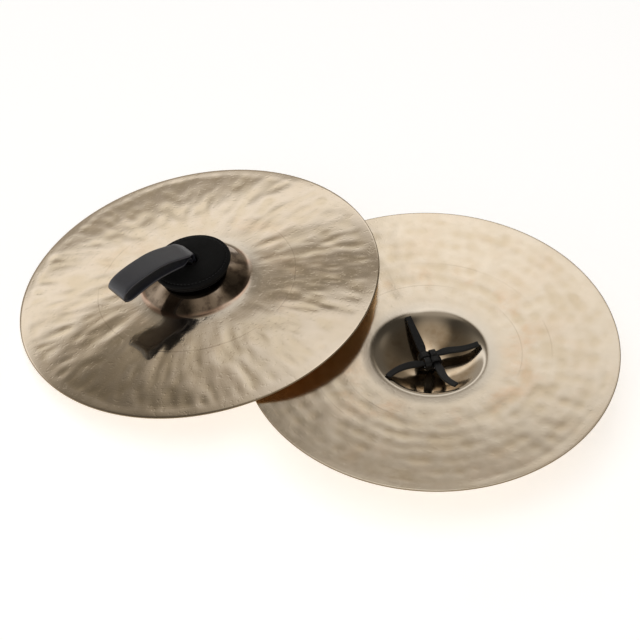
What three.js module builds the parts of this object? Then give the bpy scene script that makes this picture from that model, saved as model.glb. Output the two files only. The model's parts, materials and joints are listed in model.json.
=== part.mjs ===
// A pair of 16 inch orchestral hand cymbals laid down together.
// The lower cymbal lies level on its folded strap with its hollow side up. The upper cymbal lies
// hollow side down, with its far rim on the table and its near rim over the rim of the lower one.
// Millimetres, +Z up, table at z = 0, origin on the table under the middle of the pair.
//
// Each cymbal is drawn in its own frame: z = 0 is the plane of its rim, +z is the side of the bell
// that carries the pad and the strap, and the strap loop leans towards +x.

import * as THREE from 'three';

// Bronze disc
const rimRadius = 203.2;
const sheet = 1.5;
const bowHeight = 11.3;
const bowPower = 1.6;
const bellRadius = 60;
const bellTop = 33;
const bellBlend = 3;
const holeRadius = 7;
const discSegments = 64;

// Round hand pad
const padRadius = 44;
const padHemRadius = 41;
const padEdge = padRadius - 7;
const padTop = 43.5;
const padHole = 8;
const padCover = 2;
const padDroop = 0.25;
const stitchRadius = 40;
const stitchThread = 0.6;
const padSegments = 40;
const fit = 0.3;

// Leather strap: a hand loop that hinges just above the pad, and four tongues tied below the bell
const strapWidth = 30;
const strapNeck = 13;
const strapLeather = 2.6;
const strapTaper = 20;
const plyOffset = 1.7;
const hingeHeight = padTop + 3.5;
const tongueLeather = 2.4;
const tongueSpread = 3.9;
const tongueTop = hingeHeight - 3.8;

// Crown knot: depths are measured down from the roof of the bell, inside the hollow
const knotOffset = 4.7;
const knotHalfWidth = 2.9;
const neckHalfWidth = 2.4;
const layDepth = 3.0;
const underDepth = 9.6;
const overDepth = 12.7;
const foldStart = 6.6;
const foldReach = 4.0;
const tailStart = 8.5;
const tailHalfWidth = 4.3;
const tailTip = 3.0;
const tailRise = 0.21;

// The pair on the table
const rimHeight = 62;
const centreDistance = 275.3;
const leanBearing = THREE.MathUtils.degToRad( 157 );
const rimsGap = 1.4;
const lean = Math.asin( ( rimHeight + rimsGap ) / ( rimRadius + centreDistance / 2 ) );
const upperStrapBearing = THREE.MathUtils.degToRad( 218 );
const lowerStrapBearing = leanBearing;
const knotBearing = THREE.MathUtils.degToRad( 12 );

const bronze = { color: 0xc9b890, roughness: 0.22, metalness: 1 };
const blackLeather = { color: 0x17161a, roughness: 0.5, metalness: 0 };
const softLeather = { color: 0x111012, roughness: 0.75, metalness: 0 };
const darkFelt = { color: 0x2a2728, roughness: 0.95, metalness: 0 };
const waxedThread = { color: 0x1c1a1b, roughness: 0.6, metalness: 0 };

const smooth = THREE.MathUtils.smoothstep;
const mix = THREE.MathUtils.lerp;

function mesh( name, geometry, look ) {
	const part = new THREE.Mesh( geometry, new THREE.MeshStandardMaterial( look ) );
	part.name = name;
	return part;
}

// A solid of revolution about z from a closed outline of [ radius, height ] points.
function turned( outline, segments ) {
	const points = outline.map( ( [ radius, height ] ) => new THREE.Vector2( radius, height ) );
	const geometry = new THREE.LatheGeometry( [ ...points, points[ 0 ] ], segments );
	return geometry.rotateX( Math.PI / 2 );
}

// ---- Bronze disc: a shallow bow that rises to a domed bell, spun from one sheet

const domeHeight = bellTop - sheet - bowHeight;
const domeRadius = ( bellRadius ** 2 + domeHeight ** 2 ) / ( 2 * domeHeight );

// Height of the hollow side above the plane of the rim.
function underside( radius ) {
	const within = Math.min( radius, domeRadius );
	const dome = bellTop - sheet - domeRadius + Math.sqrt( domeRadius ** 2 - within ** 2 );
	const out = Math.max( 0, ( radius - bellRadius ) / ( rimRadius - bellRadius ) );
	const bow = bowHeight * ( 1 - out ** bowPower );
	return ( dome + bow + Math.hypot( dome - bow, bellBlend ) ) / 2;
}

// Height of the bell side: one sheet thickness outwards, square to the slope.
function topside( radius ) {
	const step = 0.5;
	const slope = ( underside( radius + step ) - underside( radius - step ) ) / ( 2 * step );
	return underside( radius ) + sheet * Math.hypot( 1, slope );
}

function cymbalDisc( name ) {
	const bell = [ holeRadius, 30, 45, 53, 57.5 ];
	const bow = [ 61, 66, 80, 120, 165, rimRadius ];
	const radii = [ ...bell, ...bow ];
	const lift = underside( rimRadius );
	const under = radii.map( ( radius ) => [ radius, underside( radius ) - lift ] );
	const over = radii.map( ( radius ) => [ radius, topside( radius ) - lift ] );
	return mesh( name, turned( [ ...under, ...over.reverse() ], discSegments ), bronze );
}

// ---- Hand pad: felt between two leather covers, sewn near the edge, with a hole for the strap

// The underside of the pad droops a little towards the bell.
function padUnder( radius ) {
	return bellTop - padDroop * ( topside( 0 ) - topside( radius ) );
}

// The face of the pad is flat in the middle and rounds off near the edge.
function padFace( radius ) {
	return padTop - 2.2 * Math.max( 0, ( radius - padEdge ) / ( padRadius - padEdge ) ) ** 2;
}

function padBottomCover( name ) {
	const outer = padHemRadius - padCover - fit;
	const radii = [ padHole, 26, outer ];
	const under = radii.map( ( radius ) => [ radius, padUnder( radius ) ] );
	const over = radii.map( ( radius ) => [ radius, padUnder( radius ) + padCover ] );
	return mesh( name, turned( [ ...under, ...over.reverse() ], padSegments ), softLeather );
}

function padCore( name ) {
	const outer = padHemRadius - padCover - fit;
	const radii = [ padHole, 26, padEdge, outer ];
	const under = radii.map( ( radius ) => [ radius, padUnder( radius ) + padCover + fit ] );
	const over = radii.map( ( radius ) => [ radius, padFace( radius ) - padCover - fit ] );
	return mesh( name, turned( [ ...under, ...over.reverse() ], padSegments ), darkFelt );
}

// The top cover wraps down over the edge of the felt and draws in towards its hem.
function padTopCover( name ) {
	const inner = padRadius - padCover;
	const hem = padUnder( padHemRadius ) + 0.6;
	const radii = [ padHole, padEdge, padRadius - 3, padRadius ];
	const face = radii.map( ( radius ) => [ radius, padFace( radius ) ] );
	const skirt = [ [ padHemRadius, hem ], [ padHemRadius - padCover, hem ] ];
	const shoulder = [ inner, padFace( inner ) - padCover ];
	const lining = [ shoulder, [ padEdge, padTop - padCover ], [ padHole, padTop - padCover ] ];
	const outline = [ ...face, ...skirt, ...lining ].reverse();
	return mesh( name, turned( outline, padSegments ), softLeather );
}

function padStitching( name ) {
	const middle = padFace( stitchRadius ) + fit + stitchThread;
	const section = [];
	for ( let corner = 0; corner < 4; corner ++ ) {
		const angle = corner * Math.PI / 2;
		const across = stitchRadius + stitchThread * Math.cos( angle );
		section.push( [ across, middle + stitchThread * Math.sin( angle ) ] );
	}
	return mesh( name, turned( section, padSegments ), waxedThread );
}

// ---- Leather bands

// A flat band lofted through stations of { centre, across, halfWidth }; across is a unit vector.
function band( stations, leather ) {
	const corners = [];
	stations.forEach( ( { centre, across, halfWidth }, i ) => {
		const before = stations[ Math.max( i - 1, 0 ) ].centre;
		const after = stations[ Math.min( i + 1, stations.length - 1 ) ].centre;
		const along = new THREE.Vector3().subVectors( after, before );
		const facing = new THREE.Vector3().crossVectors( along, across ).setLength( leather / 2 );
		const side = across.clone().multiplyScalar( halfWidth );
		for ( const [ a, b ] of [ [ 1, 1 ], [ - 1, 1 ], [ - 1, - 1 ], [ 1, - 1 ] ] ) {
			corners.push( centre.clone().addScaledVector( side, a ).addScaledVector( facing, b ) );
		}
	} );
	const index = [ 0, 2, 1, 0, 3, 2 ];
	for ( let i = 0; i < stations.length - 1; i ++ ) {
		for ( let k = 0; k < 4; k ++ ) {
			const a = 4 * i + k;
			const b = 4 * i + ( k + 1 ) % 4;
			index.push( a, b, a + 4, b, b + 4, a + 4 );
		}
	}
	const last = 4 * ( stations.length - 1 );
	index.push( last, last + 1, last + 2, last, last + 2, last + 3 );
	const geometry = new THREE.BufferGeometry().setFromPoints( corners );
	geometry.setIndex( index );
	geometry.computeVertexNormals();
	return geometry;
}

// ---- Strap loop: one wide band whose two ends come together at the hinge line over the pad

// The upper loop stands up from the pad and leans over, held by the set of the leather.
function leaningLoop() {
	const path = new THREE.Path();
	path.moveTo( - plyOffset, hingeHeight );
	path.lineTo( - plyOffset, hingeHeight + 3 );
	path.bezierCurveTo( - plyOffset, 55.5, 3, 59.5, 12, 62.5 );
	path.bezierCurveTo( 24, 66.5, 36, 71, 50, 71 );
	path.bezierCurveTo( 65, 71, 76, 70.5, 86, 67.5 );
	path.bezierCurveTo( 95, 64.8, 97.5, 59, 94.5, 55.5 );
	path.bezierCurveTo( 92, 52.8, 87, 52.6, 81, 53.7 );
	path.bezierCurveTo( 71, 55.5, 57, 58.2, 42, 57 );
	path.bezierCurveTo( 30, 56, 21, 54.8, 12, 52.3 );
	path.bezierCurveTo( 6, 50.7, plyOffset, 49.8, plyOffset, hingeHeight );
	return path;
}

// The lower loop is folded flat under the cymbal, with its outer leg on the table.
function foldedLoop() {
	const floorLeg = rimHeight - strapLeather / 2;
	const path = new THREE.Path();
	path.moveTo( - plyOffset, hingeHeight );
	path.lineTo( - plyOffset, floorLeg - 7 );
	path.bezierCurveTo( - plyOffset, floorLeg - 2.5, 1.5, floorLeg, 6, floorLeg );
	path.lineTo( 72, floorLeg );
	path.bezierCurveTo( 88, floorLeg, 88, 50, 74, 49.6 );
	path.bezierCurveTo( 54, 49.2, 34, 48.6, 12, 50.6 );
	path.bezierCurveTo( 6, 51.1, plyOffset, 50.4, plyOffset, hingeHeight );
	return path;
}

function strapLoop( name, path ) {
	const steps = 52;
	const length = path.getLength();
	const across = new THREE.Vector3( 0, 1, 0 );
	const stations = path.getSpacedPoints( steps ).map( ( point, i ) => {
		const fromEnd = length * Math.min( i, steps - i ) / steps;
		return {
			centre: new THREE.Vector3( point.x, 0, point.y ),
			across,
			halfWidth: mix( strapNeck, strapWidth, smooth( fromEnd, 2, strapTaper ) ) / 2,
		};
	} );
	return mesh( name, band( stations, strapLeather ), blackLeather );
}

// ---- Tongues: the ends of the strap, slit in four, dropped through the bell and tied in a crown

// Each tongue drops through the hole, runs out under the knot, folds back over the tail of the
// tongue before it and under the fold of the next one, and ends as a tail that rises to the wall.
// Stations are drawn heading +x and then turned to the tongue's own heading.
function tongue( name, heading, tailLength, tailBend ) {
	const roof = bellTop - sheet;
	const stations = [];
	const station = ( x, y, depth, halfWidth, turn = 0 ) => {
		const across = new THREE.Vector3( - Math.sin( turn ), Math.cos( turn ), 0 );
		stations.push( { centre: new THREE.Vector3( x, y, roof - depth ), across, halfWidth } );
	};
	const upAxis = new THREE.Vector3( 0, 0, 1 );

	station( - tongueSpread, 0, roof - tongueTop, neckHalfWidth );
	station( - tongueSpread, 0, - 1, neckHalfWidth );
	station( - tongueSpread - 0.3, - 0.2, 1.2, neckHalfWidth );
	station( - tongueSpread - 1.1, - 1.0, 2.5, neckHalfWidth );

	const foldSteps = 8;
	const foldMiddle = ( layDepth + overDepth ) / 2;
	for ( let i = 0; i <= foldSteps; i ++ ) {
		const angle = Math.PI * i / foldSteps;
		const x = - foldStart - foldReach * Math.sin( angle );
		const depth = foldMiddle - ( overDepth - layDepth ) / 2 * Math.cos( angle );
		const shift = smooth( i, - 3, foldSteps / 2 );
		station( x, - knotOffset * shift, depth, mix( neckHalfWidth, knotHalfWidth, shift ) );
	}

	const dipSteps = 4;
	const dipReach = knotOffset - knotHalfWidth + 0.2;
	station( - 4, - knotOffset, overDepth, knotHalfWidth );
	for ( let i = 0; i <= dipSteps; i ++ ) {
		const x = mix( - dipReach, dipReach, i / dipSteps );
		station( x, - knotOffset, mix( overDepth, underDepth, smooth( x, - dipReach, dipReach ) ), knotHalfWidth );
	}

	const tailSteps = 9;
	const stride = tailLength / tailSteps;
	const place = new THREE.Vector2( tailStart, - knotOffset );
	for ( let i = 0; i <= tailSteps; i ++ ) {
		const gone = i * stride;
		const turn = tailBend * smooth( gone, 0, 22 );
		const opening = mix( knotHalfWidth, tailHalfWidth, smooth( gone, 1, 9 ) );
		const halfWidth = mix( opening, tailTip, smooth( gone, 9, tailLength ) );
		const rise = tailRise * Math.max( 0, gone - 2 );
		station( place.x, place.y, underDepth + rise, halfWidth, turn );
		place.x += stride * Math.cos( turn );
		place.y += stride * Math.sin( turn );
	}

	stations.forEach( ( { centre, across } ) => {
		centre.applyAxisAngle( upAxis, heading );
		across.applyAxisAngle( upAxis, heading );
	} );
	return mesh( name, band( stations, tongueLeather ), blackLeather );
}

// ---- One cymbal with its pad, strap loop and knot

const tails = [
	{ length: 42, bend: 8 },
	{ length: 48, bend: - 4 },
	{ length: 46, bend: - 20 },
	{ length: 44, bend: - 6 },
];

function cymbal( side, loop, strapTurn, knotTurn ) {
	const group = new THREE.Group();
	group.add( cymbalDisc( `${ side }_cymbal_disc` ) );
	group.add( padBottomCover( `${ side }_pad_bottom_cover` ) );
	group.add( padCore( `${ side }_pad_felt_core` ) );

	const strap = new THREE.Group();
	strap.rotation.z = strapTurn;
	strap.add( padTopCover( `${ side }_pad_top_cover` ) );
	strap.add( padStitching( `${ side }_pad_stitching` ) );
	strap.add( strapLoop( `${ side }_strap_loop`, loop ) );
	group.add( strap );

	tails.forEach( ( { length, bend }, i ) => {
		const heading = knotTurn - i * Math.PI / 2;
		const name = `${ side }_strap_tongue_${ i + 1 }`;
		group.add( tongue( name, heading, length, THREE.MathUtils.degToRad( bend ) ) );
	} );
	return group;
}

// The lower cymbal is turned over about x, so its bearings change sign.
const lower = cymbal( 'lower', foldedLoop(), - lowerStrapBearing, - knotBearing );
lower.rotation.x = Math.PI;
lower.position.z = rimHeight;

const upper = cymbal( 'upper', leaningLoop(), upperStrapBearing - leanBearing, knotBearing );
upper.rotation.set( 0, lean, leanBearing, 'ZYX' );
upper.position.set(
	centreDistance * Math.cos( leanBearing ),
	centreDistance * Math.sin( leanBearing ),
	rimRadius * Math.sin( lean ),
);

const pair = new THREE.Group();
pair.add( lower, upper );
pair.updateMatrixWorld( true );
const middle = new THREE.Box3().setFromObject( pair, true ).getCenter( new THREE.Vector3() );
pair.position.set( - middle.x, - middle.y, 0 );

export default pair;
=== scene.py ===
"""A pair of hand cymbals: hammered bronze, leather pads, strap loops and crown knots.

Blender objects are in metres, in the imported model's frame. Each cymbal's pieces are first drawn in
millimetres in its strap frame: z = 0 is the plane of the rim, +z is the side with the pad and the
strap, and the strap loop leans towards +x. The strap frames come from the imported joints.
"""

import json
import math

import bpy
import numpy as np
from mathutils import Matrix, Vector


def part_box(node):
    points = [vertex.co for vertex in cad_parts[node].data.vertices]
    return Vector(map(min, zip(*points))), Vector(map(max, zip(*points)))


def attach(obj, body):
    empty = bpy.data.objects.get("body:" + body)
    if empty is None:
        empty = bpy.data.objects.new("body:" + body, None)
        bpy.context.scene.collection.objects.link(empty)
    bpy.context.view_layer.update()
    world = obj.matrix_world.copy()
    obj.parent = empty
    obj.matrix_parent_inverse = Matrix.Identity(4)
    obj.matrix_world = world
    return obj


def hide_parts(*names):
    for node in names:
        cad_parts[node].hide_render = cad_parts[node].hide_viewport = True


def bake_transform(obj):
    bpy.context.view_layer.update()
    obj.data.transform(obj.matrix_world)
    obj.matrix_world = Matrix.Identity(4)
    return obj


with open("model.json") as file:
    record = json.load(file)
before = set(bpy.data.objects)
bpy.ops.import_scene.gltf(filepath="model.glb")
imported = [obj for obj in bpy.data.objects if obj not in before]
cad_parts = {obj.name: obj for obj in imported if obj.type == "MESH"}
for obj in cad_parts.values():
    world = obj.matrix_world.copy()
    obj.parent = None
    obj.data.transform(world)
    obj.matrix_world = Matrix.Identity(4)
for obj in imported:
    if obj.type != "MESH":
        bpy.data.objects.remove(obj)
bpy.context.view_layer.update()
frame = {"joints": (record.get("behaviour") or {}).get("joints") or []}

MM = 0.001
UP = Vector((0, 0, 1))

# Camera: aim and distance in metres, lens and sensor in millimetres
AIM = Vector((0.0065, 0.0414, 0.0))
ELEVATION = math.radians(46.64)
DISTANCE = 2.791
LENS = 140.6
SENSOR_WIDTH = 36
CLIP_END = 20

camera = bpy.data.objects.new("camera", bpy.data.cameras.new("camera"))
bpy.context.scene.collection.objects.link(camera)
bpy.context.scene.camera = camera
camera.data.lens = LENS
camera.data.sensor_width = SENSOR_WIDTH
camera.data.clip_end = CLIP_END
camera.location = AIM + DISTANCE * Vector((0, -math.cos(ELEVATION), math.sin(ELEVATION)))
camera.rotation_euler = (math.pi / 2 - ELEVATION, 0, 0)

# Bronze disc, in millimetres
RIM_RADIUS = 203.2
SHEET = 1.5
BOW_HEIGHT = 11.3
BOW_POWER = 1.6
BELL_RADIUS = 60
BELL_TOP = 33
BELL_BLEND = 3
HOLE_RADIUS = 7
HOLE_CHAMFER = 0.35
DISC_SEGMENTS = 640
LIP_ROWS = 6

# Hammer marks, in millimetres; each fade grows between two radii and dies out between two more.
# A swell is a number of waves round the disc, the broad ones with their height.
FIRST_RING, LAST_RING = 74, 196
MARKS_FADE = (64, 76, 186, 199)
SWELL_FADE = (66, 120, 190, 203)
BROAD_SWELLS = [(2, 0.16), (3, 0.14), (5, 0.07), (9, 0.035)]
FINE_SWELLS = (13, 17, 22, 29)
DEEP_DENT = -0.26

# Random phases of ripples and lumps are drawn from 0 up to this, in radians
PHASES = 6.28

# Pad and stitches, in millimetres
PAD_RADIUS = 44
PAD_FACE_RADIUS = 41.4
PAD_HEM_RADIUS = 41
PAD_HEM_ROUND = 1.2
PAD_TOP = 43.5
PAD_HOLE = 7.6
PAD_COVER = 2
PAD_DROOP = 0.25
STITCH_RADIUS = 39.8
STITCHES = 60
STITCH_HALF_LENGTH = 1.45
STITCH_THICKNESS = 0.34
STITCH_SLANT = 0.18
STITCH_SIDES = 8
STITCH_STEPS = 7

# Strap, in millimetres
STRAP_WIDTH = 31
STRAP_NECK = 13
STRAP_LEATHER = 2.6
STRAP_TAPER = 20
STRAP_POINTS = 220
PLY_OFFSET = 1.7
HINGE_HEIGHT = PAD_TOP + 3.5
STRAP_START = HINGE_HEIGHT - 3.2
TABLE_HEIGHT = 62

# Crown knot, in millimetres; depths are measured down from the roof of the bell
TONGUE_LEATHER = 2.4
TONGUE_SPREAD = 3.9
TONGUE_TOP = HINGE_HEIGHT - 3.8
TONGUE_POINTS = 150
KNOT_OFFSET = 4.7
KNOT_HALF_WIDTH = 3.6
NECK_HALF_WIDTH = 2.4
LAY_DEPTH = 3.0
UNDER_DEPTH = 9.6
OVER_DEPTH = 12.7
FOLD_START = 6.6
FOLD_REACH = 4.0
FOLD_STEPS = 16
TAIL_START = 8.5
TAIL_STEPS = 30
TAIL_HALF_WIDTH = 4.8
TAIL_TIP = 3.6
TAIL_RISE = 0.21

# Length of each tail, its bend near the knot and the bend of its tip, in millimetres and degrees
TAILS = [(46, 24, -26), (48, -4, 0), (49, -12, -26), (45, 4, -36)]

# Leather bands are a little thinner than in CAD, and their ends are drawn in and rounded
LEATHER_EASE = 0.1
END_SCALE = 0.82
END_REACH = 0.35


# ---- Frames of the two cymbals

def joint(name):
    return next(j for j in frame["joints"] if j["name"] == name)


def strap_frame(side):
    """The cymbal's frame, turned so that +x is the way its strap loop leans."""
    swivel = joint(f"{side}_strap_swivel")
    up = Vector(swivel["axis"]).normalized()
    across = -Vector(joint(f"{side}_strap_fold")["axis"]).normalized()
    along = across.cross(up)
    origin = Vector(swivel["pos_m"]) - BELL_TOP * MM * up
    turn = Matrix((along, across, up)).transposed().to_4x4()
    return Matrix.Translation(origin) @ turn


FRAMES = {side: strap_frame(side) for side in ("lower", "upper")}


# ---- Mesh helpers

# Point attributes that the materials read
OWN_PLACE = "own_place"
DENT_DEPTH = "dent_depth"


def smooth(x, low, high):
    t = np.clip((np.asarray(x, float) - low) / (high - low), 0, 1)
    return t * t * (3 - 2 * t)


def within(x, grows, grown, fades, gone):
    """0, then 1 between grown and fades, then 0 again, with smooth steps."""
    return smooth(x, grows, grown) * (1 - smooth(x, fades, gone))


def mix(a, b, t):
    return a + (b - a) * t


def hump(x, middle, width):
    return math.exp(-(((x - middle) / width) ** 2))


def arc(centre, radii, turns):
    """Points on an ellipse about a centre, at turns in degrees."""
    points = []
    for turn in turns:
        a = math.radians(turn)
        points.append((centre[0] + radii[0] * math.cos(a), centre[1] + radii[1] * math.sin(a)))
    return points


def new_piece(name, points, faces):
    mesh = bpy.data.meshes.new(name)
    mesh.from_pydata(points, [], faces)
    piece = bpy.data.objects.new(name, mesh)
    bpy.context.scene.collection.objects.link(piece)
    return piece


def lofted(name, rows, closed):
    """A mesh from rows of points (rows, points, 3) in millimetres; each row is a closed ring.

    closed joins the last row to the first; otherwise both ends are capped.
    """
    rows = np.asarray(rows, float)
    count, ring = rows.shape[:2]
    points = rows.reshape(-1, 3) * MM
    spans = count if closed else count - 1
    i, k = np.meshgrid(np.arange(spans), np.arange(ring), indexing="ij")
    a = i * ring + k
    b = i * ring + (k + 1) % ring
    c = (i + 1) % count * ring + (k + 1) % ring
    d = (i + 1) % count * ring + k
    faces = np.stack([a, b, c, d], axis=-1).reshape(-1, 4).tolist()
    if not closed:
        faces.append(list(range(ring))[::-1])
        faces.append(list(range((count - 1) * ring, count * ring)))
    piece = new_piece(name, points.tolist(), faces)
    piece.data.validate()
    piece.data.shade_smooth()
    return piece


def settle(piece, matrix):
    """Moves the mesh into the model's frame, and keeps its points' own places for the materials."""
    mesh = piece.data
    points = np.empty(len(mesh.vertices) * 3, np.float32)
    mesh.vertices.foreach_get("co", points)
    own = mesh.attributes.new(OWN_PLACE, "FLOAT_VECTOR", "POINT")
    own.data.foreach_set("vector", points)
    mesh.transform(matrix)
    mesh.update()


def place(piece, matrix, body, material, slot_name, *nodes):
    """Puts a finished piece on its body, in the place of its CAD nodes."""
    settle(piece, matrix)
    piece.data.materials.append(material)
    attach(piece, body)
    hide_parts(*nodes)


# ---- Node helpers

class Nodes:
    """Short calls for building the node tree of a material or a world."""

    def __init__(self, owner):
        owner.use_nodes = True
        self.tree = owner.node_tree

    def node(self, kind, inputs=None, **settings):
        made = self.tree.nodes.new(kind)
        for key, value in settings.items():
            setattr(made, key, value)
        for key, value in (inputs or {}).items():
            self.feed(made.inputs[key], value)
        return made

    def feed(self, socket, value):
        if isinstance(value, bpy.types.NodeSocket):
            self.tree.links.new(value, socket)
        else:
            socket.default_value = value

    def math(self, operation, a, b=0.0):
        return self.node("ShaderNodeMath", {0: a, 1: b}, operation=operation).outputs[0]

    def plus(self, total, *values):
        for value in values:
            total = self.math("ADD", total, value)
        return total

    def minus(self, a, b):
        return self.math("SUBTRACT", a, b)

    def times(self, product, *values):
        for value in values:
            product = self.math("MULTIPLY", product, value)
        return product

    def over(self, a, b):
        return self.math("DIVIDE", a, b)

    def gap(self, a, b):
        return self.math("ABSOLUTE", self.minus(a, b))

    def span(self, value, low, high, start=0.0, end=1.0):
        """Goes smoothly from start to end as value goes from low to high."""
        inputs = {
            "Value": value, "From Min": low, "From Max": high, "To Min": start, "To Max": end,
        }
        made = self.node("ShaderNodeMapRange", inputs, interpolation_type="SMOOTHSTEP")
        return made.outputs["Result"]

    def blend(self, factor, a, b):
        return self.node("ShaderNodeMix", {0: factor, 2: a, 3: b}).outputs[0]

    def blend_colour(self, factor, a, b):
        inputs = {0: factor, 6: a, 7: b}
        return self.node("ShaderNodeMix", inputs, data_type="RGBA").outputs[2]


class Look(Nodes):
    """The nodes of one new material."""

    def __init__(self, name):
        self.material = bpy.data.materials.new(name)
        super().__init__(self.material)
        self.shader = self.tree.nodes["Principled BSDF"]

    def surface(self, name, value):
        """Feeds one of the shader's sockets."""
        self.feed(self.shader.inputs[name], value)

    def attribute(self, name, output):
        return self.node("ShaderNodeAttribute", attribute_name=name).outputs[output]

    def noise(self, vector, scale, detail=3.0, roughness=0.5):
        inputs = {"Vector": vector, "Scale": scale, "Detail": detail, "Roughness": roughness}
        return self.node("ShaderNodeTexNoise", inputs).outputs["Fac"]

    def vector(self, operation, a, b):
        return self.node("ShaderNodeVectorMath", {0: a, 1: b}, operation=operation).outputs[0]

    def bump(self, height, distance):
        inputs = {"Height": height, "Distance": distance, "Strength": 1.0}
        self.surface("Normal", self.node("ShaderNodeBump", inputs).outputs["Normal"])


# ---- Materials; lengths in metres

BELL_POLISH_ENDS = (0.056, 0.068)
BELL_COLOUR_BLEND = 0.007
LIP_COOL_ENDS = (0.064, 0.082)
MOTTLE_AND_DENT_SHADE_STARTS = (0.068, 0.095)
COPPER_RING = 0.061
WARM_RING = 0.100
EDGE_STARTS = (0.2018, 0.2028)
LATHE_LINE = (0.0003, 0.0011)
RAYS_ROUND = 16.0
COOL_BRONZE = (0.80, 0.73, 0.63, 1)
COPPER = (0.72, 0.43, 0.30, 1)
LATHE_LINE_SHADE = (0.46, 0.36, 0.25, 1)
GRAIN_WARP = (0.0012, 0.0012, 0.0012)


def bronze(name, tint):
    """Brilliant cast bronze: lathe lines, pits, dents, warm patina and a browner bell, with painted
    shade in the dents, the lathe lines and partly at the edge, and painted dark reflection partly
    browning the bell.
    """
    look = Look(name)
    own_place = look.attribute(OWN_PLACE, "Vector")
    split = look.node("ShaderNodeSeparateXYZ", {"Vector": own_place})
    x, y = split.outputs["X"], split.outputs["Y"]
    radius = look.math("SQRT", look.plus(look.times(x, x), look.times(y, y)))
    divisor = look.math("MAXIMUM", radius, 0.001)
    way_x, way_y = look.over(x, divisor), look.over(y, divisor)

    def rays(per_metre):
        """A place for noise that runs out from the axis; a lower per_metre gives longer rays."""
        return look.node("ShaderNodeCombineXYZ", {
            "X": look.times(way_x, RAYS_ROUND),
            "Y": look.times(way_y, RAYS_ROUND),
            "Z": look.times(radius, per_metre),
        }).outputs[0]

    on_bow = look.span(radius, *BELL_POLISH_ENDS)
    bell_edge = tint["bell_edge"]
    past_bell = look.span(radius, bell_edge - BELL_COLOUR_BLEND, bell_edge + BELL_COLOUR_BLEND)
    long_rays = rays(26.0)
    cloud = look.noise(own_place, scale=22.0, detail=4.0, roughness=0.6)

    # Single lathe lines, which come and go round the disc
    lines = 0.0
    for ring in tint["lines"]:
        lines = look.plus(lines, look.span(look.gap(radius, ring), *LATHE_LINE, 1.0, 0.0))
    lines = look.times(lines, look.span(look.noise(own_place, scale=11.0, detail=1.0), 0.45, 0.62))

    # The bow has painted shade in its dents, is more uniform beside the bell, and has clouds of warm
    # patina
    mottle_and_dent_shade = look.span(look.noise(rays(107.0), scale=0.5, detail=1.6), 0.34, 0.64)
    # Painted shade: the deeper a dent, the more its colour darkens towards the pale tone
    ridge = look.span(look.attribute(DENT_DEPTH, "Fac"), DEEP_DENT, 0.2 * DEEP_DENT)
    mottle_and_dent_shade = look.blend(0.7, mottle_and_dent_shade, ridge)
    mottle_and_dent_shade = look.blend(look.span(radius, *MOTTLE_AND_DENT_SHADE_STARTS), 0.7, mottle_and_dent_shade)
    bow = look.blend_colour(mottle_and_dent_shade, tint["pale"], tint["cream"])
    band = look.span(look.gap(radius, WARM_RING), 0.004, 0.03, 1.0, 0.0)
    warm = look.times(look.span(cloud, 0.45, 0.75), look.plus(look.times(band, 0.75), 0.25))
    bow = look.blend_colour(look.times(warm, tint["patina"]), bow, tint["warm"])

    # The bell, browner and darker in clouds: partly stain, and on the upper cymbal partly painted
    # dark reflection of the pad and the dim studio
    rays_part = look.times(look.noise(long_rays, scale=2.4, detail=4.0, roughness=0.65), 0.15)
    cloud_part = look.times(look.noise(own_place, scale=55.0, detail=4.0, roughness=0.6), 0.85)
    stain_and_reflection = look.span(look.plus(rays_part, cloud_part), 0.42, 0.62)
    bell = look.blend_colour(stain_and_reflection, tint["bell"], tint["bell_stain_and_reflection"])
    colour = look.blend_colour(past_bell, bell, bow)

    # A cool zone beside the bell, a copper ring at its foot, painted shade in the lathe lines, and
    # the dull edge, darkened partly with painted shade
    cool = look.times(look.span(radius, *LIP_COOL_ENDS, 1.0, 0.0), past_bell)
    colour = look.blend_colour(look.times(cool, 0.6), colour, COOL_BRONZE)
    ring = look.span(look.gap(radius, COPPER_RING), 0.001, 0.004, 1.0, 0.0)
    ring = look.times(ring, look.span(cloud, 0.4, 0.6))
    colour = look.blend_colour(look.times(ring, tint["copper"]), colour, COPPER)
    # Painted shade: the lathe lines darken the colour
    colour = look.blend_colour(look.times(lines, 0.22), colour, LATHE_LINE_SHADE)
    # Partly painted shade: the dull edge's darker colour also stands in for the shade along the rim
    edge = look.span(radius, *EDGE_STARTS)
    look.surface("Base Color", look.blend_colour(edge, colour, tint["edge"]))

    dull = look.times(look.minus(look.noise(own_place, scale=130.0), 0.5), 0.08)
    rough = look.plus(tint["roughness"], dull)
    rough = look.times(rough, look.blend(on_bow, tint["bell_polish"], 1.0))
    look.surface("Roughness", look.plus(rough, look.times(edge, 0.2)))
    look.surface("Metallic", 1.0)

    # Relief: fine grooves round the disc, streaks that run out, the lathe lines and casting pits
    groove = look.node(
        "ShaderNodeTexNoise",
        {"W": look.times(radius, 520.0), "Scale": 1.0, "Detail": 3.0},
        noise_dimensions="1D",
    ).outputs["Fac"]
    streaks = look.noise(long_rays, scale=1.6, roughness=0.55)
    height = look.plus(look.times(groove, 0.35), streaks)
    height = look.times(height, look.plus(0.12, look.times(past_bell, 0.88)))
    height = look.minus(height, look.times(lines, 0.6))
    pits = look.span(look.noise(own_place, scale=210.0, detail=2.0), 0.56, 0.74)
    height = look.minus(height, look.times(pits, on_bow))
    look.bump(height, tint["relief"])
    return look.material


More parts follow.
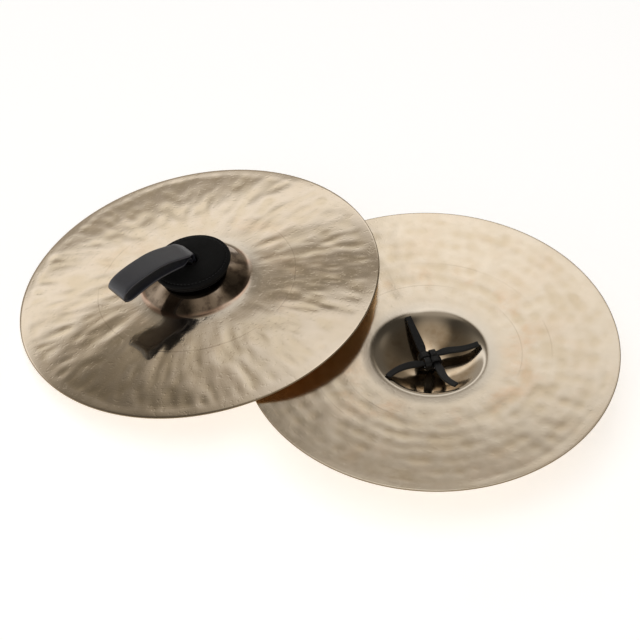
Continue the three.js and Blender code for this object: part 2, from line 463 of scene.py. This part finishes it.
def leather(name, dark, light, roughness, shine, grain, relief):
    """Dyed black leather: pebbled grain, fine creases, and lighter pebbles where it is worn."""
    look = Look(name)
    own_place = look.attribute(OWN_PLACE, "Vector")
    warp = look.node("ShaderNodeTexNoise", {"Vector": own_place, "Scale": 300.0, "Detail": 2.0})
    shift = look.vector("MULTIPLY", warp.outputs["Color"], GRAIN_WARP)
    cells = look.node(
        "ShaderNodeTexVoronoi",
        {"Vector": look.vector("ADD", own_place, shift), "Scale": grain},
        feature="DISTANCE_TO_EDGE",
    ).outputs["Distance"]
    pebble = look.span(cells, 0.0, 0.28)
    creases = look.noise(own_place, scale=240.0, detail=5.0, roughness=0.65)
    pores = look.noise(own_place, scale=2600.0, detail=2.0, roughness=0.6)
    worn = look.span(look.noise(own_place, scale=45.0), 0.45, 0.75)
    lift = look.times(pebble, look.plus(0.35, look.times(worn, 0.65)))
    look.surface("Base Color", look.blend_colour(lift, dark, light))
    uneven = look.times(look.minus(creases, 0.5), 0.18)
    look.surface("Roughness", look.minus(roughness, uneven))
    look.surface("Specular IOR Level", shine)
    height = look.plus(look.times(pebble, 0.6), look.times(creases, 0.7), look.times(pores, 0.25))
    look.bump(height, relief)
    return look.material


def thread(name, dark, light):
    look = Look(name)
    fibres = look.noise(look.attribute(OWN_PLACE, "Vector"), scale=1800.0, roughness=0.6)
    look.surface("Base Color", look.blend_colour(fibres, dark, light))
    look.surface("Roughness", look.span(fibres, 0.2, 0.8, 0.45, 0.7))
    look.bump(fibres, 0.0002)
    return look.material


UPPER_BRONZE = bronze("bronze_upper", {
    "pale": (0.86, 0.72, 0.53, 1),
    "cream": (0.92, 0.79, 0.63, 1),
    "warm": (0.86, 0.60, 0.38, 1),
    "patina": 0.35,
    # The upper bell's dark browns are partly painted dark reflection of the pad and the dim studio
    "bell": (0.43, 0.335, 0.25, 1),
    "bell_stain_and_reflection": (0.18, 0.13, 0.095, 1),
    "bell_edge": 0.0635,
    "bell_polish": 1.3,
    "copper": 0.45,
    "edge": (0.40, 0.31, 0.20, 1),
    "roughness": 0.09,
    "relief": 0.00003,
    "lines": (0.1115,),
})
LOWER_BRONZE = bronze("bronze_lower", {
    "pale": (0.83, 0.69, 0.50, 1),
    "cream": (0.955, 0.83, 0.665, 1),
    "warm": (0.90, 0.60, 0.37, 1),
    "patina": 0.6,
    "bell": (0.84, 0.68, 0.49, 1),
    "bell_stain_and_reflection": (0.72, 0.55, 0.37, 1),
    "bell_edge": 0.051,
    "bell_polish": 0.6,
    "copper": 0.0,
    "edge": (0.45, 0.35, 0.23, 1),
    "roughness": 0.17,
    "relief": 0.00002,
    "lines": (0.0985, 0.1305),
})
# Black leather whose lighter, bluish colour is partly painted sheen of the bright panel
STRAP_LOOK_WITH_PAINTED_SHEEN = leather(
    "strap_leather", dark=(0.013, 0.0135, 0.019, 1), light=(0.03, 0.032, 0.045, 1),
    roughness=0.33, shine=1.0, grain=900.0, relief=0.00006)
# The strap's own leather, made darker: painted shade on the tongues down in the bell
TONGUE_LOOK_PAINTED_SHADE = leather(
    "tongue_leather_painted_shade", dark=(0.003, 0.003, 0.003, 1), light=(0.007, 0.0065, 0.0065, 1),
    roughness=0.45, shine=0.45, grain=900.0, relief=0.00006)
PAD_LOOK = leather(
    "pad_leather", dark=(0.002, 0.002, 0.002, 1), light=(0.004, 0.0038, 0.004, 1),
    roughness=0.7, shine=0.22, grain=620.0, relief=0.00014)
THREAD_LOOK = thread(
    "waxed_thread", dark=(0.008, 0.008, 0.009, 1), light=(0.03, 0.029, 0.03, 1))


# ---- Bronze discs

DOME_HEIGHT = BELL_TOP - SHEET - BOW_HEIGHT
DOME_RADIUS = (BELL_RADIUS**2 + DOME_HEIGHT**2) / (2 * DOME_HEIGHT)


def underside(radius):
    """Height of the hollow side, from the plane of the rim."""
    radius = np.asarray(radius, float)
    inside = np.minimum(radius, DOME_RADIUS)
    dome = BELL_TOP - SHEET - DOME_RADIUS + np.sqrt(DOME_RADIUS**2 - inside**2)
    out = np.clip((radius - BELL_RADIUS) / (RIM_RADIUS - BELL_RADIUS), 0, 1)
    bow = BOW_HEIGHT * (1 - out**BOW_POWER)
    return (dome + bow + np.hypot(dome - bow, BELL_BLEND)) / 2


def topside(radius):
    slope = underside(radius + 0.5) - underside(radius - 0.5)
    return underside(radius) + SHEET * np.hypot(1, slope)


def hammer_marks(radii, angles, seed, work):
    """Heights in millimetres on a grid of radii and angles: dents with swells, and dents alone."""
    draw = np.random.RandomState(seed)
    dents = np.zeros((len(radii), len(angles)))
    step = 2 * math.pi / len(angles)
    pitch = work["pitch"]
    for ring in np.arange(FIRST_RING, LAST_RING, pitch):
        count = int(2 * math.pi * (0.5 * ring + 75) / work["spacing"])
        offset = draw.uniform(0, 1)
        for i in range(count):
            if draw.uniform() < work["skipped"]:
                continue
            middle = ring + draw.uniform(-1, 1) * work["stray"] * pitch
            angle = 2 * math.pi * (i + offset + draw.uniform(-1, 1) * work["stray"]) / count
            long = draw.uniform(*work["long"])
            wide = draw.uniform(*work["wide"])
            shallow_near_bell = 0.5 + 0.5 * float(smooth(middle, 80, 112))
            deep = work["depth"] * draw.uniform(0.3, 1.0) * shallow_near_bell
            lean = draw.uniform(-work["lean"], work["lean"])
            near = np.flatnonzero(np.abs(radii - middle) < 3 * long)
            reach = int(3.2 * wide / middle / step) + 2
            first = int(round(angle / step))
            columns = np.arange(first - reach, first + reach + 1)
            across = (columns * step - angle)[None, :] * radii[near][:, None]
            out = (radii[near] - middle)[:, None]
            spread = ((out + lean * across) / long) ** 2 + ((across - lean * out) / wide) ** 2
            dents[np.ix_(near, columns % len(angles))] -= deep * np.exp(-0.5 * spread)
    dents *= within(radii, *MARKS_FADE)[:, None]

    height = dents.copy()
    fine = [(waves, work["swell"] / waves) for waves in FINE_SWELLS]
    for waves, size in BROAD_SWELLS + fine:
        phase = draw.uniform(0, 2 * math.pi)
        swirl = draw.uniform(-0.02, 0.02)
        ripple = np.sin(radii / draw.uniform(9, 16) + draw.uniform(0, PHASES))
        grow = 1 + 0.6 * ripple * (waves in FINE_SWELLS)
        swell = size * np.cos(waves * angles[None, :] + phase + swirl * radii[:, None])
        height += swell * (grow * within(radii, *SWELL_FADE))[:, None]
    return height, dents


def cymbal_disc(side, material, seed, work):
    """One closed sheet: topside, rounded rim, underside and centre hole, with hammer marks."""
    lip = SHEET / 2
    bell = [np.linspace(HOLE_RADIUS + 0.5, 50, 16), np.linspace(52, 68, 15)]
    bow = np.linspace(70, RIM_RADIUS - lip - 0.1, 68)
    radii = np.concatenate([*bell, bow])
    angles = np.arange(DISC_SEGMENTS) * 2 * math.pi / DISC_SEGMENTS
    marks, dents = hammer_marks(radii, angles, seed, work)
    marks = marks - marks[-1].mean()
    rim_height = underside(RIM_RADIUS)

    def ring(radius, heights):
        circle = np.stack([radius * np.cos(angles), radius * np.sin(angles)], axis=-1)
        heights = np.broadcast_to(heights, (DISC_SEGMENTS,))[:, None]
        return np.concatenate([circle, heights], axis=-1)

    top = [ring(r, topside(r) - rim_height + mark) for r, mark in zip(radii, marks)]
    rim = arc((RIM_RADIUS - lip, lip), (lip, lip), np.linspace(75, -75, LIP_ROWS))
    rim = [ring(r, height) for r, height in rim]
    low = [ring(r, underside(r) - rim_height + mark) for r, mark in zip(radii, marks)]
    hole = [
        ring(HOLE_RADIUS, float(underside(HOLE_RADIUS)) - rim_height + HOLE_CHAMFER),
        ring(HOLE_RADIUS, float(topside(HOLE_RADIUS)) - rim_height - HOLE_CHAMFER),
    ]
    rows = top + rim + low[::-1] + hole
    piece = lofted(f"{side}_bronze_disc", rows[::-1], closed=True)

    no_dents = np.zeros((len(rim), DISC_SEGMENTS))
    depths = np.concatenate([dents, no_dents, dents[::-1], no_dents[:len(hole)]])[::-1]
    dent = piece.data.attributes.new(DENT_DEPTH, "FLOAT", "POINT")
    dent.data.foreach_set("value", depths.astype(np.float32).ravel())
    place(piece, FRAMES[side], f"{side}_cymbal", material, "bronze", f"{side}_cymbal_disc")


# ---- Pads

def pad_under(radius):
    """Height of the pad's underside, which droops a little towards the bell."""
    return BELL_TOP - PAD_DROOP * (topside(0.0) - topside(radius))


def turned_pad(name, outline, segments, soften, pucker, seed):
    """Leather turned from a closed outline, with slight lumps and with puckers at the stitches."""
    draw = np.random.RandomState(seed)
    angles = np.arange(segments) * 2 * math.pi / segments
    waves = [
        (draw.randint(2, 9), draw.uniform(0, PHASES), draw.uniform(-0.12, 0.12)) for _ in range(7)
    ]
    rows = []
    for radius, height in outline:
        lump = sum(np.cos(n * angles + phase + swirl * radius) for n, phase, swirl in waves)
        lump = lump / len(waves)
        grow = soften * float(smooth(radius, PAD_HOLE + 2, PAD_RADIUS - 6))
        pulled = pucker * hump(radius, STITCH_RADIUS, 2.2) * np.cos(STITCHES * angles)
        r = radius + 0.35 * grow * lump
        heights = height + grow * lump + pulled
        rows.append(np.stack([r * np.cos(angles), r * np.sin(angles), heights], axis=-1))
    return lofted(name, rows, closed=True)


def pad_face(radius):
    """The cushion's crowned face, with a collar at the hole and a sewn groove near the edge."""
    crown = 0.9 * float(within(radius, 9, 24, 26, 41))
    collar = 0.45 * hump(radius, 10.2, 1.1)
    dip = 1.3 * hump(radius, PAD_HOLE, 1.2)
    groove = 0.8 * hump(radius, STITCH_RADIUS, 0.9)
    fall = 1.3 * max(0.0, (radius - 36) / 5) ** 2
    return PAD_TOP - 0.5 + crown + collar - dip - groove - fall


def pad_outline():
    """The cushion's section: its face, a round edge, a side that draws in to the hem, its base."""
    radii = np.concatenate([
        np.linspace(PAD_HOLE, 12, 6), np.linspace(14, 35, 11), np.linspace(36, PAD_FACE_RADIUS, 16),
    ])
    face = [(radius, pad_face(radius)) for radius in radii]
    bulge = PAD_RADIUS - PAD_FACE_RADIUS
    edge_middle = (PAD_FACE_RADIUS, face[-1][1] - bulge)
    edge = arc(edge_middle, (bulge, bulge), np.linspace(75, 0, 8))
    low = float(pad_under(PAD_HEM_RADIUS)) + PAD_COVER + 0.35 + PAD_HEM_ROUND
    high = edge[-1][1]
    side = []
    for t in np.linspace(0.15, 1, 7):
        swell = 0.5 * math.sin(math.pi * t)
        side.append((mix(PAD_RADIUS, PAD_HEM_RADIUS, t) + swell, mix(high, low, t)))
    hem_middle = (PAD_HEM_RADIUS - PAD_HEM_ROUND, low)
    hem = arc(hem_middle, (PAD_HEM_ROUND, PAD_HEM_ROUND), (-20, -45, -70))
    radii = np.linspace(PAD_HEM_RADIUS - 2, PAD_HOLE, 14)
    under = [(radius, float(pad_under(radius)) + PAD_COVER + 0.3) for radius in radii]
    return face + edge + side + hem + under


def pad_base_outline():
    """Section of the bottom cover that lies on the bell."""
    radii = np.linspace(PAD_HOLE, PAD_HEM_RADIUS - PAD_HEM_ROUND, 16)
    over = [(radius, float(pad_under(radius)) + PAD_COVER) for radius in radii]
    cut = float(pad_under(PAD_HEM_RADIUS))
    lip = [(PAD_HEM_RADIUS - 0.5, cut + 1.5), (PAD_HEM_RADIUS - 0.4, cut + 0.7)]
    under = [(radius, float(pad_under(radius))) for radius in radii[::-1]]
    return over + lip + under


def pad_stitches(side):
    """Short slanted stitches that lie in the sewn groove."""
    points, faces = [], []
    height = pad_face(STITCH_RADIUS) + 0.5
    for i in range(STITCHES):
        angle = 2 * math.pi * (i + 0.5) / STITCHES
        middle = Vector((STITCH_RADIUS * math.cos(angle), STITCH_RADIUS * math.sin(angle), 0))
        out = middle.normalized()
        way = Vector((-out.y, out.x, 0)) + STITCH_SLANT * out
        way.normalize()
        aside = way.cross(UP)
        first = len(points)
        for j in range(STITCH_STEPS):
            t = j / (STITCH_STEPS - 1) * 2 - 1
            thick = STITCH_THICKNESS * math.sqrt(max(0.05, 1 - t * t))
            centre = middle + STITCH_HALF_LENGTH * t * way + (height - 0.5 * t * t) * UP
            for k in range(STITCH_SIDES):
                a = 2 * math.pi * k / STITCH_SIDES
                point = centre + thick * (math.cos(a) * aside + math.sin(a) * UP)
                points.append(tuple(point * MM))
        for j in range(STITCH_STEPS - 1):
            for k in range(STITCH_SIDES):
                a = first + j * STITCH_SIDES + k
                b = first + j * STITCH_SIDES + (k + 1) % STITCH_SIDES
                faces.append((a, a + STITCH_SIDES, b + STITCH_SIDES, b))
        last = first + (STITCH_STEPS - 1) * STITCH_SIDES
        faces.append(tuple(first + k for k in range(STITCH_SIDES)))
        faces.append(tuple(last + k for k in reversed(range(STITCH_SIDES))))
    piece = new_piece(f"{side}_pad_stitches", points, faces)
    piece.data.shade_smooth()
    return piece


def pad(side, seed):
    home, body = FRAMES[side], f"{side}_pad"
    cushion = turned_pad(
        f"{body}_cushion", pad_outline()[::-1], segments=480, soften=0.3, pucker=0.1, seed=seed)
    place(cushion, home, body, PAD_LOOK, "pad_leather", f"{body}_top_cover", f"{body}_felt_core")
    base = turned_pad(
        f"{body}_base", pad_base_outline()[::-1], segments=240, soften=0.0, pucker=0.0, seed=seed)
    place(base, home, body, PAD_LOOK, "pad_leather", f"{body}_bottom_cover")
    place(pad_stitches(side), home, body, THREAD_LOOK, "thread", f"{body}_stitching")


# ---- Leather bands

def band_section(half_width, thickness, crown):
    """Points round a band's section as (across, facing): a crowned face and a hollow back."""
    half = thickness / 2
    bend = 0.75 * half
    inner = half_width - bend
    face = np.linspace(-inner, inner, 9)
    turns = (67, 45, 22, 0, -22, -45, -67)
    points = [(u, half + crown * (1 - (u / half_width) ** 2)) for u in face]
    points += arc((inner, 0), (bend, half), turns)
    points += [(u, -half + crown * 0.4 * (1 - (u / half_width) ** 2)) for u in face[::-1]]
    return points + arc((-inner, 0), (-bend, half), turns[::-1])


def band(name, centres, acrosses, half_widths, thickness, crown):
    """A leather band lofted along centres; its ends are rounded off a little and closed."""
    centres, acrosses = np.asarray(centres, float), np.asarray(acrosses, float)
    along = np.gradient(centres, axis=0)
    facing = np.cross(along, acrosses)
    facing /= np.linalg.norm(facing, axis=1)[:, None]
    along /= np.linalg.norm(along, axis=1)[:, None]
    rows = []
    for i in range(len(centres)):
        section = band_section(half_widths[i], thickness, crown)
        rows.append([centres[i] + u * acrosses[i] + v * facing[i] for u, v in section])
    rows = np.array(rows)

    def rounded(end, way):
        drawn_in = (rows[end] - centres[end]) * END_SCALE
        return [centres[end] + drawn_in + way * along[end] * END_REACH]

    rows = np.concatenate([rounded(0, -1), rows, rounded(-1, 1)])
    return lofted(name, rows[:, ::-1], closed=False)


def cubic(points, steps):
    """Points along one cubic Bezier curve, without its first point."""
    a, b, c, d = (np.array(p, float) for p in points)
    t = np.linspace(0, 1, steps + 1)[1:, None]
    return (1 - t) ** 3 * a + 3 * (1 - t) ** 2 * t * b + 3 * (1 - t) * t**2 * c + t**3 * d


def even(points, count, *extra):
    """Resamples a polyline, and values that go with it, to count evenly spaced points."""
    points = np.asarray(points, float)
    gone = np.concatenate([[0], np.cumsum(np.linalg.norm(np.diff(points, axis=0), axis=1))])
    at = np.linspace(0, gone[-1], count)
    columns = [np.interp(at, gone, points[:, k]) for k in range(points.shape[1])]
    values = [np.interp(at, gone, value) for value in extra]
    return np.stack(columns, axis=-1), at, values


def leaning_path():
    """The upper loop, as (along, up): it stands up from the pad and leans over."""
    curves = [
        [(-PLY_OFFSET, 50), (-PLY_OFFSET, 55.5), (3, 59.5), (12, 62.5)],
        [(12, 62.5), (24, 66.5), (36, 71), (50, 71)],
        [(50, 71), (65, 71), (76, 70.5), (86, 67.5)],
        [(86, 67.5), (95, 64.8), (97.5, 59), (94.5, 55.5)],
        [(94.5, 55.5), (92, 52.8), (87, 52.6), (81, 53.7)],
        [(81, 53.7), (71, 55.5), (57, 58.2), (42, 57)],
        [(42, 57), (30, 56), (21, 54.8), (12, 52.3)],
        [(12, 52.3), (6, 50.7), (PLY_OFFSET, 49.8), (PLY_OFFSET, HINGE_HEIGHT)],
    ]
    rise = [(-PLY_OFFSET, STRAP_START), (-PLY_OFFSET, HINGE_HEIGHT + 3)]
    return np.concatenate([rise, *[cubic(c, 24) for c in curves], [(PLY_OFFSET, STRAP_START)]])


def folded_path():
    """The lower loop, as (along, up): folded flat, with its outer leg on the table."""
    lying = TABLE_HEIGHT - STRAP_LEATHER / 2
    foot = [(-PLY_OFFSET, lying - 7), (-PLY_OFFSET, lying - 2.5), (1.5, lying), (6, lying)]
    turn = [(72, lying), (88, lying), (88, 50), (74, 49.6)]
    back = [(74, 49.6), (54, 49.2), (34, 48.6), (12, 50.6)]
    root = [(12, 50.6), (6, 51.1), (PLY_OFFSET, 50.4), (PLY_OFFSET, HINGE_HEIGHT)]
    flat = np.stack([np.linspace(8, 72, 30), np.full(30, lying)], axis=-1)
    return np.concatenate([
        [(-PLY_OFFSET, STRAP_START)], [foot[0]], cubic(foot, 20), flat,
        cubic(turn, 30), cubic(back, 24), cubic(root, 20), [(PLY_OFFSET, STRAP_START)],
    ])


def strap_loop(side, path):
    flat, at, _ = even(path, STRAP_POINTS)
    from_end = np.minimum(at, at[-1] - at) - (HINGE_HEIGHT - STRAP_START)
    half = mix(STRAP_NECK, STRAP_WIDTH, smooth(from_end, 2, STRAP_TAPER)) / 2
    centres = np.stack([flat[:, 0], np.zeros(len(flat)), flat[:, 1]], axis=-1)
    acrosses = np.tile([0.0, 1.0, 0.0], (len(flat), 1))
    piece = band(f"{side}_strap", centres, acrosses, half, STRAP_LEATHER - LEATHER_EASE, crown=0.05)
    piece.data.materials.append(STRAP_LOOK_WITH_PAINTED_SHEEN)
    settle(piece, FRAMES[side])
    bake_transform(piece)
    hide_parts(f"{side}_strap_loop")


# ---- Crown knot

def tongue_stations(length, bend, tip_bend):
    """Rows of x, y, z, half width and turn, for a tongue whose fold heads along -x."""
    roof = BELL_TOP - SHEET
    stations = []

    def station(x, y, depth, half_width, turn=0.0):
        stations.append((x, y, roof - depth, half_width, turn))

    # Down through the hole, with a lean towards the fold
    station(-TONGUE_SPREAD, 0, roof - TONGUE_TOP, NECK_HALF_WIDTH)
    station(-TONGUE_SPREAD, 0, -1, NECK_HALF_WIDTH)
    station(-TONGUE_SPREAD - 0.3, -0.2, 1.2, NECK_HALF_WIDTH)
    station(-TONGUE_SPREAD - 1.1, -1.0, 2.5, NECK_HALF_WIDTH)

    # Folded back over itself
    middle, reach = (LAY_DEPTH + OVER_DEPTH) / 2, (OVER_DEPTH - LAY_DEPTH) / 2
    for i in range(FOLD_STEPS + 1):
        angle = math.pi * i / FOLD_STEPS
        shift = float(smooth(i, -6, 8))
        x = -FOLD_START - FOLD_REACH * math.sin(angle)
        half = mix(NECK_HALF_WIDTH, KNOT_HALF_WIDTH, shift)
        station(x, -KNOT_OFFSET * shift, middle - reach * math.cos(angle), half)

    # Over one neighbour and under the next
    station(-4, -KNOT_OFFSET, OVER_DEPTH, KNOT_HALF_WIDTH)
    dip = KNOT_OFFSET - KNOT_HALF_WIDTH + 0.2
    for x in np.linspace(-dip, dip, 9):
        depth = mix(OVER_DEPTH, UNDER_DEPTH, float(smooth(x, -dip, dip)))
        station(x, -KNOT_OFFSET, depth, KNOT_HALF_WIDTH)

    # Out as a tail that bends, opens and narrows to its tip
    stride = length / TAIL_STEPS
    x, y = TAIL_START, -KNOT_OFFSET
    for i in range(TAIL_STEPS + 1):
        gone = i * stride
        turn = bend * float(smooth(gone, 0, 22)) + tip_bend * float(smooth(gone, 12, length))
        opening = mix(KNOT_HALF_WIDTH, TAIL_HALF_WIDTH, float(smooth(gone, 1, 9)))
        half = mix(opening, TAIL_TIP, float(smooth(gone, 9, length)))
        station(x, y, UNDER_DEPTH + TAIL_RISE * max(0.0, gone - 2), half, turn)
        x += stride * math.cos(turn)
        y += stride * math.sin(turn)
    return np.array(stations)


def tongue(side, number, heading, length, bend, tip_bend):
    """One slit end of the strap, turned to its heading in the knot."""
    data = tongue_stations(length, bend, tip_bend)
    centres, _, (half, turn) = even(data[:, :3], TONGUE_POINTS, data[:, 3], data[:, 4])
    for _ in range(3):
        centres[1:-1] = (centres[:-2] + 2 * centres[1:-1] + centres[2:]) / 4
    c, s = math.cos(heading), math.sin(heading)
    spin = np.array([[c, -s, 0], [s, c, 0], [0, 0, 1]]).T
    acrosses = np.stack([-np.sin(turn), np.cos(turn), np.zeros(len(turn))], axis=-1)
    piece = band(f"{side}_tongue_{number}", centres @ spin, acrosses @ spin, half,
                 TONGUE_LEATHER - LEATHER_EASE, crown=0.1)
    place(piece, FRAMES[side], f"{side}_knot", TONGUE_LOOK_PAINTED_SHADE, "strap_leather",
          f"{side}_strap_tongue_{number}")


def knot_heading(side):
    """Where the first tongue heads in the strap frame: the CAD node says it."""
    low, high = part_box(f"{side}_strap_tongue_1")
    tip = FRAMES[side].inverted() @ ((low + high) / 2)
    return math.atan2(tip.y, tip.x)


def knot(side):
    """Four tongues a quarter turn apart."""
    start = knot_heading(side)
    for i, (length, bend, tip_bend) in enumerate(TAILS):
        heading = start - i * math.pi / 2
        tongue(side, i + 1, heading, length, math.radians(bend), math.radians(tip_bend))


# ---- The two cymbals

# Hammer work: the pitch of the rings and the spacing along them, how far a mark strays and leans,
# the share that is skipped, its size outwards (long) and round the disc (wide), its depth, and the
# height of the fine swells
RING_WORK = {
    "pitch": 17, "spacing": 17, "stray": 0.13, "skipped": 0.05, "lean": 0.15,
    "long": (4.6, 6.6), "wide": (5.0, 7.4), "depth": 0.27, "swell": 0.4,
}
FREE_WORK = {
    "pitch": 15, "spacing": 12, "stray": 0.36, "skipped": 0.12, "lean": 0.25,
    "long": (6.0, 10.5), "wide": (3.4, 5.4), "depth": 0.22, "swell": 0.5,
}
CYMBALS = [
    ("lower", LOWER_BRONZE, 11, RING_WORK, folded_path()),
    ("upper", UPPER_BRONZE, 5, FREE_WORK, leaning_path()),
]

for side, material, seed, work, path in CYMBALS:
    cymbal_disc(side, material, seed, work)
    pad(side, seed + 1)
    strap_loop(side, path)
    knot(side)


# ---- Stage and light

FLOOR_HALF = 6.0
FLOOR_DROP = 0.0005
FLOOR_GLOW = 0.46
KEY_PLACE = Vector((-0.3, -0.6, 3.2))
KEY_SIZE = (3.4, 3.0)
KEY_POWER = 42

# Brightness of the studio's parts; the panel is brighter high up than low down
PANEL_LEVELS = (0.58, 1.06)
STRIP_LEVEL = 0.58
DARK_LEVEL = 0.045
LOW_LEVEL = 0.28
FLANK_LEVEL = 0.35
FRONT_LEVEL = 0.35
OVERHEAD_LEVEL = 0.27
DIM_LIGHT = (1.0, 0.9, 0.76, 1)
BRIGHT_LIGHT = (1.0, 0.985, 0.965, 1)


def floor():
    f = FLOOR_HALF
    piece = new_piece("floor", [(-f, -f, 0), (f, -f, 0), (f, f, 0), (-f, f, 0)], [(0, 1, 2, 3)])
    paper = Look("floor_paper")
    paper.surface("Base Color", (0.9, 0.9, 0.9, 1))
    paper.surface("Roughness", 0.9)
    paper.surface("Specular IOR Level", 0.1)
    paper.surface("Emission Color", (1, 1, 1, 1))
    paper.surface("Emission Strength", FLOOR_GLOW)
    piece.data.materials.append(paper.material)
    piece.location.z = -FLOOR_DROP


def key_light():
    """A soft lamp for the floor and the leather; the bronze mirrors the studio instead."""
    data = bpy.data.lights.new("key", "AREA")
    data.shape = "RECTANGLE"
    data.size, data.size_y = KEY_SIZE
    data.energy = KEY_POWER
    lamp = bpy.data.objects.new("key", data)
    bpy.context.scene.collection.objects.link(lamp)
    lamp.location = KEY_PLACE
    lamp.rotation_euler = (-KEY_PLACE).to_track_quat("-Z", "Y").to_euler()
    lamp.visible_glossy = False


def studio():
    """A dim studio for the bronze to mirror, as brightness by the direction that is mirrored.

    It has a bright ceiling panel behind the cymbals, a fainter strip low on the back wall, and dim
    light overhead, in front, at both sides and low down. x is right, y is back and z is up;
    across and back say where a direction meets a ceiling one unit up.
    """
    world = bpy.data.worlds.new("studio")
    bpy.context.scene.world = world
    sky = Nodes(world)
    way = sky.node("ShaderNodeTexCoord").outputs["Generated"]
    x, y, z = sky.node("ShaderNodeSeparateXYZ", {0: way}).outputs
    rise = sky.math("MAXIMUM", z, 0.02)
    across, back = sky.over(x, rise), sky.over(y, rise)

    # The panel fades out to the left and in front, and stops short on the right
    slant = sky.plus(across, sky.times(back, 0.7))
    sides = sky.times(sky.span(slant, 0.0, 0.5, 0.05), sky.span(across, 0.08, 0.26, 1.0, 0.0))
    depth = sky.times(sky.span(back, -0.2, 0.34), sky.span(z, 0.59, 0.69))
    panel = sky.times(sides, depth, sky.span(z, 0.6, 0.95, *PANEL_LEVELS))

    strip = sky.times(
        sky.span(z, 0.31, 0.42), sky.span(z, 0.44, 0.63, 1.0, 0.0),
        sky.span(y, 0.3, 0.6), sky.span(x, 0.1, 0.45, STRIP_LEVEL, 0.0),
    )

    low = sky.times(sky.span(z, 0.4, 0.8, 1.0, 0.0), sky.span(x, 0.15, 0.5, 1.0, 0.2))
    flank = sky.span(sky.math("ABSOLUTE", x), 0.68, 0.86)
    front = sky.times(sky.span(y, -0.45, -0.1, 1.0, 0.0), sky.span(z, 0.7, 0.84, 1.0, 0.0))
    overhead = sky.span(z, 0.9, 0.985)
    dim = sky.plus(
        DARK_LEVEL, sky.times(low, LOW_LEVEL), sky.times(flank, FLANK_LEVEL),
        sky.times(front, FRONT_LEVEL), sky.times(overhead, OVERHEAD_LEVEL),
    )

    level = sky.plus(panel, strip, dim)
    background = sky.tree.nodes["Background"]
    sky.feed(background.inputs["Strength"], level)
    tone = sky.blend_colour(sky.span(level, 0.1, 0.75), DIM_LIGHT, BRIGHT_LIGHT)
    sky.feed(background.inputs["Color"], tone)


floor()
studio()
key_light()
bpy.context.scene.view_settings.view_transform = "Standard"
bpy.context.scene.cycles.glossy_bounces = 10
bpy.context.scene.cycles.max_bounces = 14
